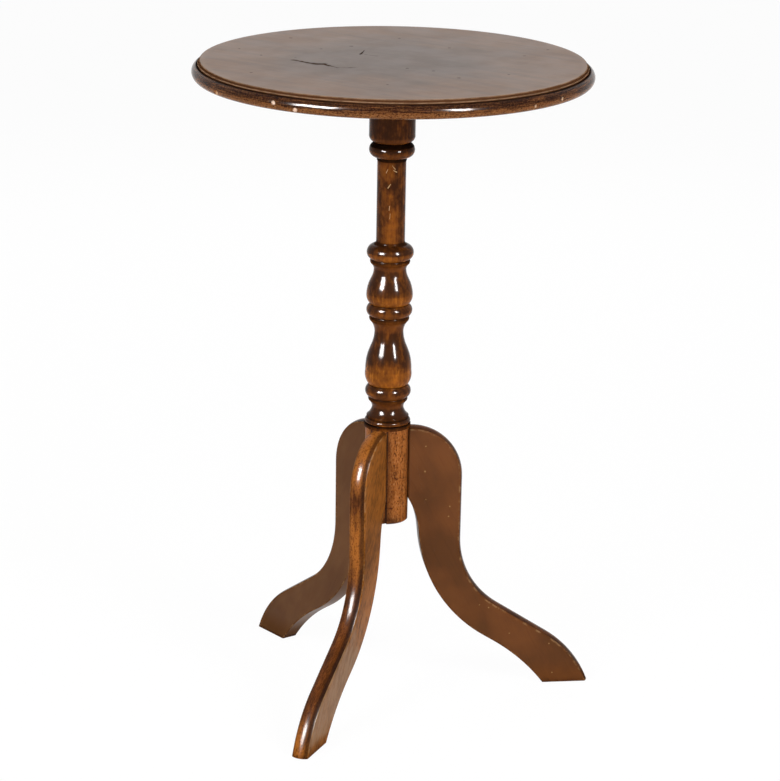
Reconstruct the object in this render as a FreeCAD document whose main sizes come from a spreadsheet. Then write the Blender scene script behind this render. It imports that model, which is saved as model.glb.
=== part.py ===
import FreeCAD, Part
import math
import operator
import os
import types
import Sketcher

# Driving sizes of the table, in millimetres
SIZES = {
    # Whole table, and the play left between pieces that fit into each other
    "table_height": 610.0,
    "joint_gap": 0.1,
    "cut_overrun": 5.0,
    # Round top: nose is the half-round of its edge, under a small ledge
    "top_radius": 184.0,
    "top_thickness": 17.0,
    "edge_nose": 5.7,
    "edge_quirk": 1.7,
    "edge_ledge": 1.6,
    "edge_riser": 2.5,
    "edge_ease": 0.6,
    # Cleat under the top, bevelled towards its ends
    "cleat_length": 220.0,
    "cleat_width": 64.0,
    "cleat_thickness": 16.0,
    "cleat_bevel_length": 26.0,
    "cleat_bevel_height": 8.0,
    # Countersunk wood screws, cleat to top
    "screw_length": 25.0,
    "screw_shank_radius": 2.0,
    "screw_head_radius": 4.0,
    "screw_tip_length": 4.0,
    "screw_slot_width": 1.0,
    "screw_slot_depth": 1.0,
    "screw_end_inset": 34.0,
    "screw_side_inset": 15.0,
    "pilot_spare": 1.0,
    # Column: hub, and the greatest radii of the turned members above it
    "hub_bottom": 170.3,
    "hub_top": 262.3,
    "hub_radius": 20.6,
    "hub_chamfer": 1.2,
    "base_ring_radius": 21.8,
    "base_bead_radius": 21.5,
    "base_bead_round": 2.2,
    "foot_fillet_radius": 19.8,
    "lower_neck_radius": 14.8,
    "middle_neck_radius": 13.5,
    "upper_neck_radius": 15.1,
    "knop_ring_radius": 21.5,
    "knop_quirk_depth": 3.4,
    "knop_bead_step": 1.0,
    "vase_belly_radius": 21.7,
    "vase_waist_radius": 17.4,
    "shaft_ring_radius": 21.9,
    "shaft_radius": 13.4,
    "shaft_ring_top_radius": 14.9,
    "collar_radius": 13.9,
    "drum_ring_radius": 21.2,
    "drum_ring_round": 6.0,
    "drum_quirk_radius": 16.2,
    "drum_radius": 21.4,
    # Head tenon with its kerf and wedge
    "tenon_radius": 12.0,
    "kerf_depth": 13.0,
    "kerf_mouth": 3.2,
    "kerf_foot": 1.0,
    "wedge_length": 22.0,
    # Legs: side outline, crown of the outer face, dovetail tail
    "leg_thickness": 16.0,
    "leg_crown_rise": 2.5,
    "leg_crown_root": 3.0,
    "leg_seat_height": 68.9,
    "knee_radius": 70.0,
    "waist_radius": 69.2,
    "toe_radius": 196.6,
    "heel_radius": 154.8,
    "tail_depth": 9.0,
    "tail_neck_width": 8.0,
    "tail_root_width": 11.0,
}

# Height of each turned member from the hub up, as shares of the turned length
base_ring_share = 3.7
base_bead_share = 4.6
foot_fillet_share = 2.8
foot_cove_share = 8.1
# For each knop: cove, bead, ring, swell of the vase, its taper, its hollow neck
lower_knop_shares = (5.7, 4.2, 11.8, 14.3, 21.8, 15.2)
upper_knop_shares = (10.1, 5.3, 11.5, 9.6, 15.0, 8.5)
shaft_cove_share = 4.9
shaft_bead_share = 5.0
shaft_ring_low_share = 6.1
shaft_ring_high_share = 7.8
shaft_foot_share = 2.9
shaft_share = 76.8
collar_share = 2.8
drum_ring_share = 14.0
drum_round_share = 7.2
drum_share = 35.0
turned_shares = (
    base_ring_share, base_bead_share, foot_fillet_share, foot_cove_share,
    *lower_knop_shares, *upper_knop_shares,
    shaft_cove_share, shaft_bead_share, shaft_ring_low_share, shaft_ring_high_share,
    shaft_foot_share, shaft_share, collar_share,
    drum_ring_share, drum_round_share, drum_share,
)

# How far an arc stands off its chord, as shares of the chord: hollows are negative
quarter_round_share = 0.2
slack_cove_share = -0.1
knop_cove_share = -0.08
knop_bead_share = 0.2
vase_swell_share = 0.115
vase_taper_share = 0.06
vase_neck_share = -0.055
ring_low_share = 0.14

# Corners of the leg's side outline as shares of its radii and heights
hollow_height_share = 0.399
instep_radius_share, instep_height_share = 0.949, 0.113
throat_radius_share, throat_height_share = 0.409, 0.919
inner_hollow_radius_share, inner_hollow_height_share = 0.555, 0.444
arch_radius_share, arch_height_share = 0.879, 0.134
# How much of the shorter run beside it each corner's round takes up
outer_round_shares = (0.95, 0.33, 0.97)
inner_round_shares = (0.9, 0.72, 0.95)

LEGS = ("right_leg", "left_leg", "front_leg")
FULL_TURN = 360.0


class Size:
    """A length with its number and the sheet formula that gives it."""

    def __init__(self, number, formula=None):
        self.number = float(number)
        self.formula = formula or f"({self.number:.9g})"

    def joined(self, other, sign, work):
        other = as_size(other)
        return Size(work(self.number, other.number), f"({self.formula} {sign} {other.formula})")

    def __add__(self, other):
        return self.joined(other, "+", operator.add)

    def __sub__(self, other):
        return self.joined(other, "-", operator.sub)

    def __mul__(self, other):
        return self.joined(other, "*", operator.mul)

    def __truediv__(self, other):
        return self.joined(other, "/", operator.truediv)

    def __neg__(self):
        return Size(0) - self

    def __abs__(self):
        return Size(abs(self.number), f"abs({self.formula})")

    def root(self):
        return Size(math.sqrt(self.number), f"sqrt({self.formula})")


def as_size(value):
    return value if isinstance(value, Size) else Size(value)


class Point:
    """A corner of an outline, as two sizes."""

    def __init__(self, across, up):
        self.across, self.up = as_size(across), as_size(up)

    def __sub__(self, other):
        return Point(self.across - other.across, self.up - other.up)

    def towards(self, other, share):
        step = other - self
        return Point(self.across + step.across * share, self.up + step.up * share)

    def dot(self, other):
        return self.across * other.across + self.up * other.up

    def cross(self, other):
        return self.across * other.up - self.up * other.across

    def length(self):
        return self.dot(self).root()

    def vector(self):
        return FreeCAD.Vector(self.across.number, self.up.number, 0)


class Outline:
    """Corners joined by straight edges and arcs, drawn with the material on the left."""

    def __init__(self, across, up):
        self.corners = [Point(across, up)]
        self.bends = []

    def line(self, across, up):
        self.corners.append(Point(across, up))
        self.bends.append(None)

    def arc(self, across, up, rise):
        """An arc that stands rise proud of its chord, and is hollow where rise is negative."""
        start, end, rise = self.corners[-1], Point(across, up), as_size(rise)
        chord = (end - start).vector()
        outwards = FreeCAD.Vector(chord.y, -chord.x, 0).normalize()
        middle = (start.vector() + end.vector()) / 2 + outwards * rise.number
        span = end - start
        radius = (span.dot(span) / 4 + rise * rise) / (abs(rise) * 2)
        self.corners.append(end)
        self.bends.append((middle, radius))

    def curve(self, across, up, rise_share):
        """An arc whose rise is a share of its chord."""
        span = Point(across, up) - self.corners[-1]
        self.arc(across, up, span.length() * rise_share)

    def rounded(self, corners, round_shares):
        """Straight runs through the corners, each but the last rounded by a tangent arc."""
        before = self.corners[-1]
        for corner, after, share in zip(corners, corners[1:], round_shares):
            back, ahead = before - corner, after - corner
            back_run, ahead_run = back.length(), ahead.length()
            shorter = back_run if back_run.number < ahead_run.number else ahead_run
            tangent = shorter * share
            start = corner.towards(before, tangent / back_run)
            end = corner.towards(after, tangent / ahead_run)
            radius = tangent * abs(back.cross(ahead)) / (back_run * ahead_run + back.dot(ahead))
            inwards = (start.vector() - corner.vector()) + (end.vector() - corner.vector())
            reach = math.hypot(tangent.number, radius.number) - radius.number
            self.line(start.across, start.up)
            self.corners.append(end)
            self.bends.append((corner.vector() + inwards.normalize() * reach, radius))
            before = corner
        self.line(corners[-1].across, corners[-1].up)

    def draw(self, sketch, closed=True):
        """Draw the outline and tie each corner and each arc's radius to the sheet."""
        starts, ends, bends = self.corners[:-1], self.corners[1:], list(self.bends)
        if closed:
            starts, ends, bends = self.corners, self.corners[1:] + self.corners[:1], bends + [None]
        ties, joints = [], []
        for start, end, bend in zip(starts, ends, bends):
            first, last = start.vector(), end.vector()
            if bend is None:
                edge = sketch.addGeometry(Part.LineSegment(first, last), False)
                joints.append((edge, 1, 2))
            else:
                middle, radius = bend
                edge = sketch.addGeometry(Part.Arc(first, middle, last), False)
                begins = sketch.getPoint(edge, 1)
                forward = begins.distanceToPoint(first) < begins.distanceToPoint(last)
                joints.append((edge, 1, 2) if forward else (edge, 2, 1))
                ties.append((Sketcher.Constraint("Radius", edge, radius.number), radius.formula))
            ties += place(edge, joints[-1][1], start)
        follows = zip(joints, joints[1:] + joints[:1]) if closed else zip(joints, joints[1:])
        for (edge, _, last), (following, first, _) in follows:
            ties.append((Sketcher.Constraint("Coincident", edge, last, following, first), None))
        if not closed:
            ties += place(joints[-1][0], joints[-1][2], self.corners[-1])
        tie_down(sketch, ties)


def place(edge, end, point):
    """Constraints that hold one point of an edge at its two sizes from the sketch's origin."""
    ties = []
    for kind, value, axis in (("DistanceX", point.across, -2), ("DistanceY", point.up, -1)):
        if value.number == 0:
            ties.append((Sketcher.Constraint("PointOnObject", edge, end, axis), None))
        elif value.number > 0:
            ties.append((Sketcher.Constraint(kind, -1, 1, edge, end, value.number), value.formula))
        else:
            below = -value
            ties.append((Sketcher.Constraint(kind, edge, end, -1, 1, below.number), below.formula))
    return ties


def tie_down(sketch, ties):
    rows = sketch.addConstraint([constraint for constraint, _ in ties])
    for row, (_, formula) in zip(rows, ties):
        if formula:
            sketch.setExpression(f"Constraints[{row}]", formula)


def draw_circle(sketch, centre, radius):
    upright = FreeCAD.Vector(0, 0, 1)
    edge = sketch.addGeometry(Part.Circle(centre.vector(), upright, radius.number), False)
    ties = place(edge, 3, centre)
    ties.append((Sketcher.Constraint("Radius", edge, radius.number), radius.formula))
    tie_down(sketch, ties)


doc = FreeCAD.newDocument("wine_table")
sheet = doc.addObject("Spreadsheet::Sheet", "Sizes")
for row, (name, value) in enumerate(SIZES.items(), start=1):
    sheet.set(f"A{row}", name)
    sheet.set(f"B{row}", str(value))
    sheet.setAlias(f"B{row}", name)
doc.recompute()
at = types.SimpleNamespace(**{name: Size(sheet.get(name), f"Sizes.{name}") for name in SIZES})

# Heights and radii that several pieces share
top_underside = at.table_height - at.top_thickness
cleat_underside = top_underside - at.cleat_thickness
hub_flat_radius = (at.hub_radius * at.hub_radius - at.leg_thickness * at.leg_thickness / 4).root()
leg_end_radius = hub_flat_radius + at.joint_gap
leg_side_top = at.hub_top - at.joint_gap - at.leg_crown_rise
leg_seat_bottom = at.hub_top - at.leg_seat_height
tenon_top = top_underside - at.joint_gap
screw_across = at.cleat_length / 2 - at.screw_end_inset
screw_along = at.cleat_width / 2 - at.screw_side_inset
screw_places = [Point(x, y) for x in (screw_across, -screw_across) for y in (screw_along, -screw_along)]


def new_body(label):
    body = doc.addObject("PartDesign::Body", label)
    body.Label = label
    return body


def origin_plane(body, role):
    return next(feature for feature in body.Origin.OriginFeatures if feature.Role == role)


def new_sketch(body, name, role, **offset):
    """A sketch on one of the body's origin planes, moved by sizes along the sketch's own axes."""
    sketch = body.newObject("Sketcher::SketchObject", f"{body.Label}_{name}")
    sketch.AttachmentSupport = [(origin_plane(body, role), "")]
    sketch.MapMode = "FlatFace"
    base = FreeCAD.Vector(*(offset[axis].number if axis in offset else 0 for axis in "xyz"))
    sketch.AttachmentOffset = FreeCAD.Placement(base, FreeCAD.Rotation())
    for axis, value in offset.items():
        sketch.setExpression(f"AttachmentOffset.Base.{axis}", value.formula)
    return sketch


def new_feature(body, kind, name, sketch, length=None, **settings):
    feature = body.newObject(f"PartDesign::{kind}", f"{body.Label}_{name}")
    feature.Profile = sketch
    for setting, value in settings.items():
        setattr(feature, setting, value)
    if length is not None:
        feature.Length = length.number
        feature.setExpression("Length", length.formula)
    doc.recompute()
    return feature


def revolve(body, name, sketch):
    axis = (sketch, ["V_Axis"])
    return new_feature(body, "Revolution", name, sketch, ReferenceAxis=axis, Angle=FULL_TURN)


def pattern(body, kind, name, original, **settings):
    feature = body.newObject(f"PartDesign::{kind}", f"{body.Label}_{name}")
    feature.Originals = [original]
    for setting, value in settings.items():
        setattr(feature, setting, value)
    body.Tip = feature
    doc.recompute()
    return feature


def make_top():
    """A round board with a half-round nose, a quirk, a ledge and a riser round its edge."""
    body = new_body("table_top")
    nose_root = at.top_radius - at.edge_nose
    ledge_height = at.table_height - at.edge_riser
    flat_radius = nose_root - at.edge_ledge
    outline = Outline(0, top_underside)
    outline.line(nose_root, top_underside)
    outline.arc(nose_root, ledge_height - at.edge_quirk, at.edge_nose)
    outline.line(nose_root, ledge_height - at.edge_ease)
    outline.line(nose_root - at.edge_ease, ledge_height)
    outline.line(flat_radius, ledge_height)
    outline.line(flat_radius, at.table_height - at.edge_ease)
    outline.line(flat_radius - at.edge_ease, at.table_height)
    outline.line(0, at.table_height)
    sketch = new_sketch(body, "section", "XZ_Plane")
    outline.draw(sketch)
    revolve(body, "board", sketch)
    holes = new_sketch(body, "pilot_places", "XY_Plane", z=top_underside)
    for screw_place in screw_places:
        draw_circle(holes, screw_place, at.screw_shank_radius + at.joint_gap)
    depth = at.screw_length - at.cleat_thickness + at.pilot_spare
    new_feature(body, "Pocket", "pilot_holes", holes, depth, Reversed=True)
    return body


def make_cleat():
    """A bearer under the top, bored for the column's tenon and countersunk for its screws."""
    body = new_body("cleat")
    half_length = at.cleat_length / 2
    foot = half_length - at.cleat_bevel_length
    shoulder = cleat_underside + at.cleat_bevel_height
    outline = Outline(-foot, cleat_underside)
    outline.line(foot, cleat_underside)
    outline.line(half_length, shoulder)
    outline.line(half_length, top_underside)
    outline.line(-half_length, top_underside)
    outline.line(-half_length, shoulder)
    sketch = new_sketch(body, "side", "XZ_Plane")
    outline.draw(sketch)
    new_feature(body, "Pad", "bar", sketch, at.cleat_width, SideType="Symmetric")
    bore = new_sketch(body, "bore_place", "XY_Plane", z=cleat_underside)
    draw_circle(bore, Point(0, 0), at.tenon_radius + at.joint_gap)
    for screw_place in screw_places:
        draw_circle(bore, screw_place, at.screw_shank_radius + at.joint_gap)
    holes = new_feature(body, "Pocket", "bores", bore, Type="ThroughAll", Reversed=True)
    sinks = body.newObject("PartDesign::Chamfer", "cleat_countersinks")
    sinks.Base = (holes, hole_mouths(holes.Shape, at.screw_shank_radius + at.joint_gap, cleat_underside))
    sink_size = at.screw_head_radius - at.screw_shank_radius
    sinks.Size = sink_size.number
    sinks.setExpression("Size", sink_size.formula)
    doc.recompute()
    return body


def hole_mouths(shape, radius, height):
    """Names of the round edges of that radius that lie at that height."""
    names = []
    for number, edge in enumerate(shape.Edges, start=1):
        round_edge = isinstance(edge.Curve, Part.Circle)
        if round_edge and math.isclose(edge.Curve.Radius, radius.number):
            if math.isclose(edge.Curve.Center.z, height.number):
                names.append(f"Edge{number}")
    return names


def make_screws():
    """Four slotted countersunk screws, driven up through the cleat into the top."""
    body = new_body("cleat_screws")
    neck = cleat_underside + at.screw_head_radius - at.screw_shank_radius
    point = cleat_underside + at.screw_length
    outline = Outline(0, cleat_underside)
    outline.line(at.screw_head_radius, cleat_underside)
    outline.line(at.screw_shank_radius, neck)
    outline.line(at.screw_shank_radius, point - at.screw_tip_length)
    outline.line(0, point)
    sketch = new_sketch(body, "section", "XZ_Plane", x=screw_across, z=-screw_along)
    outline.draw(sketch)
    revolve(body, "screw", sketch)
    half_slot = at.screw_slot_width / 2
    reach = at.screw_head_radius + at.cut_overrun
    slot = Outline(-reach, -half_slot)
    slot.line(reach, -half_slot)
    slot.line(reach, half_slot)
    slot.line(-reach, half_slot)
    sketch = new_sketch(body, "slot_place", "XY_Plane", x=screw_across, y=screw_along, z=cleat_underside)
    slot.draw(sketch)
    slotted = new_feature(body, "Pocket", "slot", sketch, at.screw_slot_depth, Reversed=True)
    for name, role in (("other_end", "YZ_Plane"), ("other_side", "XZ_Plane")):
        mirror = (origin_plane(body, role), [""])
        slotted = pattern(body, "Mirrored", name, slotted, MirrorPlane=mirror, TransformMode="Whole shape")
    return body


def turned_profile():
    """Half section of the column: hub, base ring, two knops with vases, shaft, drum, tenon."""
    per_share = (cleat_underside - at.hub_top) / sum(turned_shares)
    height = at.hub_top
    outline = Outline(0, at.hub_bottom)
    outline.line(at.hub_radius - at.hub_chamfer, at.hub_bottom)
    outline.line(at.hub_radius, at.hub_bottom + at.hub_chamfer)
    outline.line(at.hub_radius, height)

    def step(radius):
        outline.line(radius, height)

    def bead(share, projection):
        nonlocal height
        height = height + per_share * share
        outline.arc(outline.corners[-1].across, height, projection)

    def curve(share, radius, rise_share):
        nonlocal height
        height = height + per_share * share
        outline.curve(radius, height, rise_share)

    def straight(share, radius):
        nonlocal height
        height = height + per_share * share
        outline.line(radius, height)

    step(at.base_ring_radius)
    straight(base_ring_share, at.base_ring_radius)
    step(at.base_bead_radius - at.base_bead_round)
    bead(base_bead_share, at.base_bead_round)
    step(at.foot_fillet_radius)
    straight(foot_fillet_share, at.foot_fillet_radius)
    curve(foot_cove_share, at.lower_neck_radius, slack_cove_share)

    quirk_radius = at.knop_ring_radius - at.knop_quirk_depth
    cove_edge = quirk_radius - at.knop_bead_step
    knops = (
        (lower_knop_shares, at.middle_neck_radius),
        (upper_knop_shares, at.upper_neck_radius),
    )
    for (cove, rib, ring, swell, taper, neck), neck_radius in knops:
        curve(cove, cove_edge, knop_cove_share)
        curve(rib, quirk_radius, knop_bead_share)
        bead(ring, at.knop_quirk_depth)
        curve(swell, at.vase_belly_radius, vase_swell_share)
        curve(taper, at.vase_waist_radius, vase_taper_share)
        curve(neck, neck_radius, vase_neck_share)

    curve(shaft_cove_share, cove_edge, knop_cove_share)
    curve(shaft_bead_share, quirk_radius, knop_bead_share)
    curve(shaft_ring_low_share, at.shaft_ring_radius, ring_low_share)
    curve(shaft_ring_high_share, at.shaft_ring_top_radius, quarter_round_share)
    curve(shaft_foot_share, at.shaft_radius, slack_cove_share)
    straight(shaft_share, at.shaft_radius)
    step(at.collar_radius)
    straight(collar_share, at.collar_radius)
    step(at.drum_ring_radius - at.drum_ring_round)
    bead(drum_ring_share, at.drum_ring_round)
    step(at.drum_quirk_radius)
    curve(drum_round_share, at.drum_radius, quarter_round_share)
    outline.line(at.drum_radius, cleat_underside)
    outline.line(at.tenon_radius, cleat_underside)
    outline.line(at.tenon_radius, tenon_top)
    outline.line(0, tenon_top)
    return outline


def tail_half_widths(play):
    return at.tail_neck_width / 2 + play, at.tail_root_width / 2 + play


def make_column():
    """One turning, with a flat and a sliding-dovetail socket in the hub for each leg."""
    body = new_body("column")
    sketch = new_sketch(body, "section", "XZ_Plane")
    turned_profile().draw(sketch)
    revolve(body, "turning", sketch)

    neck, root = tail_half_widths(at.joint_gap)
    half_leg = at.leg_thickness / 2
    socket_end = leg_end_radius - at.tail_depth - at.joint_gap
    outside = at.hub_radius + at.cut_overrun
    socket = Outline(hub_flat_radius, -half_leg)
    socket.line(outside, -half_leg)
    socket.line(outside, half_leg)
    socket.line(hub_flat_radius, half_leg)
    socket.line(hub_flat_radius, neck)
    socket.line(socket_end, root)
    socket.line(socket_end, -root)
    socket.line(hub_flat_radius, -neck)
    sketch = new_sketch(body, "socket_plan", "XY_Plane")
    socket.draw(sketch)
    first = new_feature(body, "Pocket", "socket", sketch, at.hub_top, Reversed=True)
    axis = (origin_plane(body, "Z_Axis"), [""])
    pattern(body, "PolarPattern", "sockets", first, Axis=axis, Angle=FULL_TURN, Occurrences=len(LEGS))

    sketch = new_sketch(body, "kerf_section", "XZ_Plane")
    wedge_outline(at.kerf_mouth / 2, at.kerf_foot / 2, tenon_top).draw(sketch)
    new_feature(body, "Pocket", "kerf", sketch, Type="ThroughAll", SideType="Symmetric")
    return body


def wedge_outline(half_mouth, half_foot, head):
    foot = tenon_top - at.kerf_depth
    outline = Outline(-half_foot, foot)
    outline.line(half_foot, foot)
    outline.line(half_mouth, head)
    outline.line(-half_mouth, head)
    return outline


def make_wedge():
    """The wedge that spreads the tenon's kerf."""
    body = new_body("tenon_wedge")
    half_mouth = at.kerf_mouth / 2 - at.joint_gap
    half_foot = at.kerf_foot / 2 - at.joint_gap
    sketch = new_sketch(body, "section", "XZ_Plane")
    wedge_outline(half_mouth, half_foot, tenon_top).draw(sketch)
    new_feature(body, "Pad", "wedge", sketch, at.wedge_length, SideType="Symmetric")
    return body


def below_floor(corner, foot):
    """The point where the run from a corner to its foot on the floor ends, under the floor."""
    return corner.towards(foot, (corner.up + at.cut_overrun) / corner.up)


def outer_corners():
    """The leg's outer side edge, from the hub's seat over the knee to the toe."""
    instep = Point(at.toe_radius * instep_radius_share, leg_side_top * instep_height_share)
    return [
        Point(leg_end_radius, leg_side_top),
        Point(at.knee_radius, leg_side_top),
        Point(at.waist_radius, leg_side_top * hollow_height_share),
        instep,
        below_floor(instep, Point(at.toe_radius, 0)),
    ]


def inner_corners():
    """The leg's inner edge, from the foot of the hub's seat down to the heel."""
    arch = Point(at.heel_radius * arch_radius_share, leg_seat_bottom * arch_height_share)
    return [
        Point(leg_end_radius, leg_seat_bottom),
        Point(at.knee_radius * throat_radius_share, leg_seat_bottom * throat_height_share),
        Point(at.waist_radius * inner_hollow_radius_share, leg_seat_bottom * inner_hollow_height_share),
        arch,
        below_floor(arch, Point(at.heel_radius, 0)),
    ]


def make_leg(label, turn):
    """An S-curved leg with flat sides, a crowned outer face and a dovetail tail."""
    body = new_body(label)
    outer, inner = outer_corners(), inner_corners()
    half_leg = at.leg_thickness / 2

    side = Outline(inner[0].across, inner[0].up)
    side.rounded(inner[1:], inner_round_shares)
    side.line(outer[-1].across, outer[-1].up)
    side.rounded(outer[-2::-1], outer_round_shares[::-1])
    sketch = new_sketch(body, "side", "XZ_Plane")
    side.draw(sketch)
    new_feature(body, "Pad", "blank", sketch, at.leg_thickness, SideType="Symmetric")

    spine = Outline(outer[0].across, outer[0].up)
    spine.rounded(outer[1:], outer_round_shares)
    path = new_sketch(body, "crown_line", "XZ_Plane")
    spine.draw(path, closed=False)
    crown = Outline(-half_leg, leg_side_top - at.leg_crown_root)
    crown.line(half_leg, leg_side_top - at.leg_crown_root)
    crown.line(half_leg, leg_side_top)
    crown.arc(-half_leg, leg_side_top, at.leg_crown_rise)
    section = new_sketch(body, "crown_section", "YZ_Plane", z=leg_end_radius)
    crown.draw(section)
    doc.recompute()
    edges = [f"Edge{number}" for number in range(1, len(path.Shape.Edges) + 1)]
    new_feature(body, "AdditivePipe", "crown", section, Spine=(path, edges))

    reach = at.toe_radius + at.leg_thickness + at.cut_overrun
    wide = half_leg + at.cut_overrun
    floor = Outline(0, -wide)
    floor.line(reach, -wide)
    floor.line(reach, wide)
    floor.line(0, wide)
    sketch = new_sketch(body, "floor", "XY_Plane")
    floor.draw(sketch)
    new_feature(body, "Pocket", "sole", sketch, Type="ThroughAll")

    neck, root = tail_half_widths(0)
    tail_end = leg_end_radius - at.tail_depth
    tail_root = leg_end_radius + at.leg_crown_root
    tail = Outline(tail_end, -root)
    tail.line(leg_end_radius, -neck)
    tail.line(tail_root, -neck)
    tail.line(tail_root, neck)
    tail.line(leg_end_radius, neck)
    tail.line(tail_end, root)
    sketch = new_sketch(body, "tail_plan", "XY_Plane", z=leg_seat_bottom)
    tail.draw(sketch)
    new_feature(body, "Pad", "tail", sketch, leg_side_top - leg_seat_bottom)

    body.Placement = FreeCAD.Placement(FreeCAD.Vector(), FreeCAD.Rotation(FreeCAD.Vector(0, 0, 1), turn))
    return body


def check_document(bodies):
    """Stop if any feature failed, any cut took nothing away, or any piece isn't a valid solid."""
    for feature in doc.Objects:
        if {"Invalid", "Error"} & set(feature.State):
            raise RuntimeError(f"{feature.Name} failed: {feature.State}")
        if feature.TypeId == "PartDesign::Pocket":
            if feature.Shape.Volume >= feature.BaseFeature.Shape.Volume:
                raise RuntimeError(f"{feature.Name} cuts nothing")
    for body in bodies:
        if body.Shape.isNull() or not body.Shape.isValid():
            raise RuntimeError(f"{body.Label} has no valid shape")


pieces = [make_top(), make_cleat(), make_screws(), make_column(), make_wedge()]
pieces += [make_leg(label, FULL_TURN * number / len(LEGS)) for number, label in enumerate(LEGS)]
doc.recompute()
check_document(pieces)
os.makedirs("parts", exist_ok=True)
for piece in pieces:
    piece.Shape.exportStep(f"parts/{piece.Label}.step")
    print(piece.Label, len(piece.Shape.Solids), "solids", round(piece.Shape.Volume), "mm3")
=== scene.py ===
import math

import bmesh
import bpy
from mathutils import Matrix, Vector


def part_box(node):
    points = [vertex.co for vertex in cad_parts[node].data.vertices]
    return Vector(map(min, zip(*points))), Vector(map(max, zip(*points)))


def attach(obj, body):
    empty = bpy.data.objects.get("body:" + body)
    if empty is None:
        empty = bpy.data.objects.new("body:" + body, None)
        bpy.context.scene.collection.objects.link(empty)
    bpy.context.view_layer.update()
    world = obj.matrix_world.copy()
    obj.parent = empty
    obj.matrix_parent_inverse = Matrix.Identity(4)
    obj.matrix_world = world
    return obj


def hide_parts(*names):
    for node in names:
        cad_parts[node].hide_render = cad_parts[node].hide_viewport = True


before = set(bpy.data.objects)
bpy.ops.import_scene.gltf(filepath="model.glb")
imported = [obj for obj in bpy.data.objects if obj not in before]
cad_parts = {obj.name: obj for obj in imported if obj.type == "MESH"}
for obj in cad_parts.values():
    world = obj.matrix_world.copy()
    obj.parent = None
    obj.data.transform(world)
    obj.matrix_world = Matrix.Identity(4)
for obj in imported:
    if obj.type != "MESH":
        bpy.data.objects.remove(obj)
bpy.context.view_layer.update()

MM = 0.001
FULL_TURN = 2 * math.pi
# Places closer than the weld are one place, and places closer than the slack lie in one plane
WELD = 0.01 * MM
SLACK = 0.1 * MM

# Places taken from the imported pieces
top_low, top_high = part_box("table_top")
column_low, column_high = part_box("column")
cleat_low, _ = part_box("cleat")

# Moulded edge of the top
EDGE_NOSE = 5.7 * MM
EDGE_QUIRK = 1.7 * MM
EDGE_LEDGE = 1.6 * MM
EDGE_RISER = 2.5 * MM
EDGE_EASE = 0.6 * MM
NOSE_ROOT = top_high.x - EDGE_NOSE
LEDGE_HEIGHT = top_high.z - EDGE_RISER
FLAT_RADIUS = NOSE_ROOT - EDGE_LEDGE
# Width of the flat band that holds the shading beside the rounded edge
EDGE_BAND = 5.7 * MM

# Column: hub, head tenon, and its turned members from the hub up
HUB_TOP = 262.3 * MM
HUB_RADIUS = 20.6 * MM
HUB_CHAMFER = 1.2 * MM
TENON_RADIUS = 12.0 * MM
KERF_DEPTH = 13.0 * MM
KERF_MOUTH = 3.2 * MM
KERF_FOOT = 1.0 * MM
COLUMN_EASE = 0.25 * MM
# How far the blocks that cut the joints reach past the column
CUT_REACH = 5.7 * MM
# Each member has its height as a share of them all, its radius at the top in mm and the bulge of its side,
# then how much grime and painted shade darken it, and how far it turns amber: amber wood with a painted glow
BASE = (
    (0, 21.8, 0, 0.1, 0.1), (3.7, 21.8, 0, 0.0, 0.2),
    (0, 19.3, 0, 0.9, 0.0), (4.6, 19.3, 0.478, 0.0, 0.3),
    (0, 19.8, 0, 0.9, 0.0), (2.8, 19.8, 0, 0.3, 0.2),
    (8.1, 14.8, -0.1, 0.0, 0.1),
)
LOWER_KNOP = (
    (5.7, 17.1, -0.08, 0.1, 0.1), (4.2, 18.1, 0.2, 0.5, 0.2), (11.8, 18.1, 0.288, 0.0, 0.3),
    (14.3, 21.7, 0.115, 0.0, 0.9), (4.5, 21.6, 0.012, 0.0, 0.7), (17.3, 17.4, 0.0475, 0.0, 0.3),
    (15.2, 13.5, -0.055, 0.0, 0.2),
)
UPPER_KNOP = (
    (10.1, 17.1, -0.08, 0.1, 0.2), (5.3, 18.1, 0.2, 0.5, 0.2), (11.5, 18.1, 0.296, 0.0, 0.3),
    (9.6, 21.7, 0.115, 0.0, 0.7), (3.0, 21.4, 0.012, 0.0, 0.5), (12.0, 17.4, 0.048, 0.0, 0.3),
    (8.5, 15.1, -0.055, 0.0, 0.4),
)
SHAFT = (
    (4.9, 17.1, -0.08, 0.1, 0.2), (5.0, 18.1, 0.2, 0.5, 0.3), (6.1, 21.9, 0.14, 0.0, 0.6),
    (7.8, 14.9, 0.2, 0.0, 0.2), (2.9, 13.4, -0.1, 0.6, 0.2), (1.6, 13.4, 0, 0.0, 0.4),
    (73.6, 13.4, 0, 0.0, 0.4), (1.6, 13.4, 0, 0.0, 0.4),
)
# The top of the ring under the drum carries full grime, which is painted shade under the drum
DRUM = (
    (0, 13.9, 0, 0.8, 0.2), (2.8, 13.9, 0, 0.5, 0.2),
    (0, 15.2, 0, 0.9, 0.2), (7.0, 21.2, 0.185, 0.0, 0.3), (3.8, 20.1, 0.071, 0.0, 0.0),
    (3.2, 15.2, 0.108, 1.0, 0.0), (0, 16.2, 0, 1.0, 0.0), (7.2, 21.4, 0.2, 0.0, 0.2),
    (35.0, 21.4, 0, 0.0, 0.05),
)

# Legs: thickness, crown of the outer face, dovetail tail and its play in the socket, eased arrises, the
# border of each flat side, the lean of the grain, and the way each leg points
LEG_THICKNESS = 16.0 * MM
CROWN_RISE = 2.5 * MM
TAIL_DEPTH = 9.0 * MM
TAIL_NECK = 8.0 * MM
TAIL_ROOT = 11.0 * MM
JOINT_GAP = 0.1 * MM
LEG_EASE = 0.6 * MM
SIDE_BORDER = 2.5 * MM
LEG_GRAIN = math.radians(-28)
LEG_TURNS = {"right": 0.0, "left": FULL_TURN / 3, "front": FULL_TURN * 2 / 3}

# Cleat under the top
CLEAT_EASE = 0.4 * MM

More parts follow.
